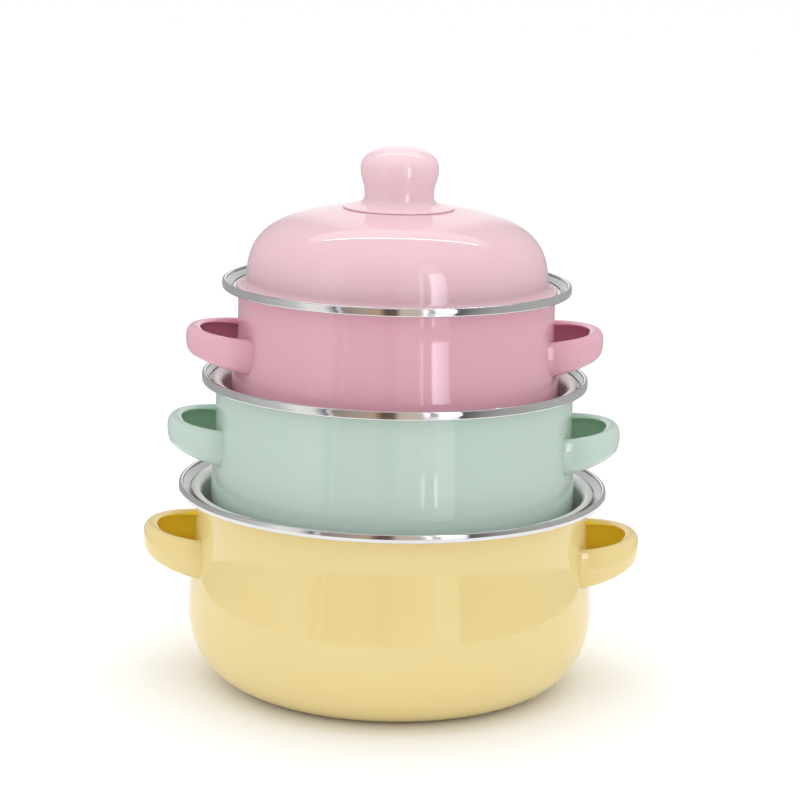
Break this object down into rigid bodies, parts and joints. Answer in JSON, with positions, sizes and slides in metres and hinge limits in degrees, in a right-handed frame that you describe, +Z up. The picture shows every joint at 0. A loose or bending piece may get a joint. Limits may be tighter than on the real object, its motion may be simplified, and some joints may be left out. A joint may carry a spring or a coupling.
{
  "type": "dutch oven",
  "caption": "Stacked enamelled steel casseroles with steel rims and loop handles, lower lids upturned as trays for the pots above, and a domed lid with a pressed knob on top.",
  "frame": {"origin": "centre of the box of the whole stack at the height of the surface it stands on", "axes": "+Z up along the axis of the stack, +X through the right handle of the large pot, +Y to the back"},
  "size_m": [0.2484, 0.212, 0.2661],
  "materials": {
    "rim_steel": "polished stainless steel",
    "large_pot_enamel": "glossy vitreous enamel on pressed steel",
    "large_handle_enamel": "glossy vitreous enamel on stamped steel",
    "large_lid_enamel": "glossy vitreous enamel on pressed steel",
    "large_knob_enamel": "glossy vitreous enamel on pressed steel",
    "medium_pot_enamel": "glossy vitreous enamel on pressed steel",
    "medium_handle_enamel": "glossy vitreous enamel on stamped steel",
    "medium_lid_enamel": "glossy vitreous enamel on pressed steel",
    "medium_knob_enamel": "glossy vitreous enamel on pressed steel",
    "small_pot_enamel": "glossy vitreous enamel on pressed steel",
    "small_handle_enamel": "glossy vitreous enamel on stamped steel",
    "small_lid_enamel": "glossy vitreous enamel on pressed steel",
    "small_knob_enamel": "glossy vitreous enamel on pressed steel"
  },
  "bodies": {
    "large_pot": {"large_pot_body": "large_pot_enamel", "large_pot_steel_rim": "rim_steel", "large_pot_handle_right": "large_handle_enamel", "large_pot_handle_left": "large_handle_enamel"},
    "large_lid": {"large_lid_dome": "large_lid_enamel", "large_lid_knob": "large_knob_enamel"},
    "medium_pot": {"medium_pot_body": "medium_pot_enamel", "medium_pot_steel_rim": "rim_steel", "medium_pot_handle_right": "medium_handle_enamel", "medium_pot_handle_left": "medium_handle_enamel"},
    "medium_lid": {"medium_lid_dome": "medium_lid_enamel", "medium_lid_knob": "medium_knob_enamel"},
    "small_pot": {"small_pot_body": "small_pot_enamel", "small_pot_steel_rim": "rim_steel", "small_pot_handle_right": "small_handle_enamel", "small_pot_handle_left": "small_handle_enamel"},
    "small_lid": {"small_lid_dome": "small_lid_enamel", "small_lid_knob": "small_knob_enamel"}
  },
  "joints": [
    {"name": "large_lid_lift", "type": "slide", "parent": "large_pot", "child": "large_lid", "axis": [0, 0, 1], "range_m": [0, 0.1]},
    {"name": "medium_pot_lift", "type": "slide", "parent": "large_lid", "child": "medium_pot", "axis": [0, 0, 1], "range_m": [0, 0.08]},
    {"name": "medium_lid_lift", "type": "slide", "parent": "medium_pot", "child": "medium_lid", "axis": [0, 0, 1], "range_m": [0, 0.09]},
    {"name": "small_pot_lift", "type": "slide", "parent": "medium_lid", "child": "small_pot", "axis": [0, 0, 1], "range_m": [0, 0.08]},
    {"name": "small_lid_lift", "type": "slide", "parent": "small_pot", "child": "small_lid", "axis": [0, 0, 1], "range_m": [0, 0.1]}
  ]
}
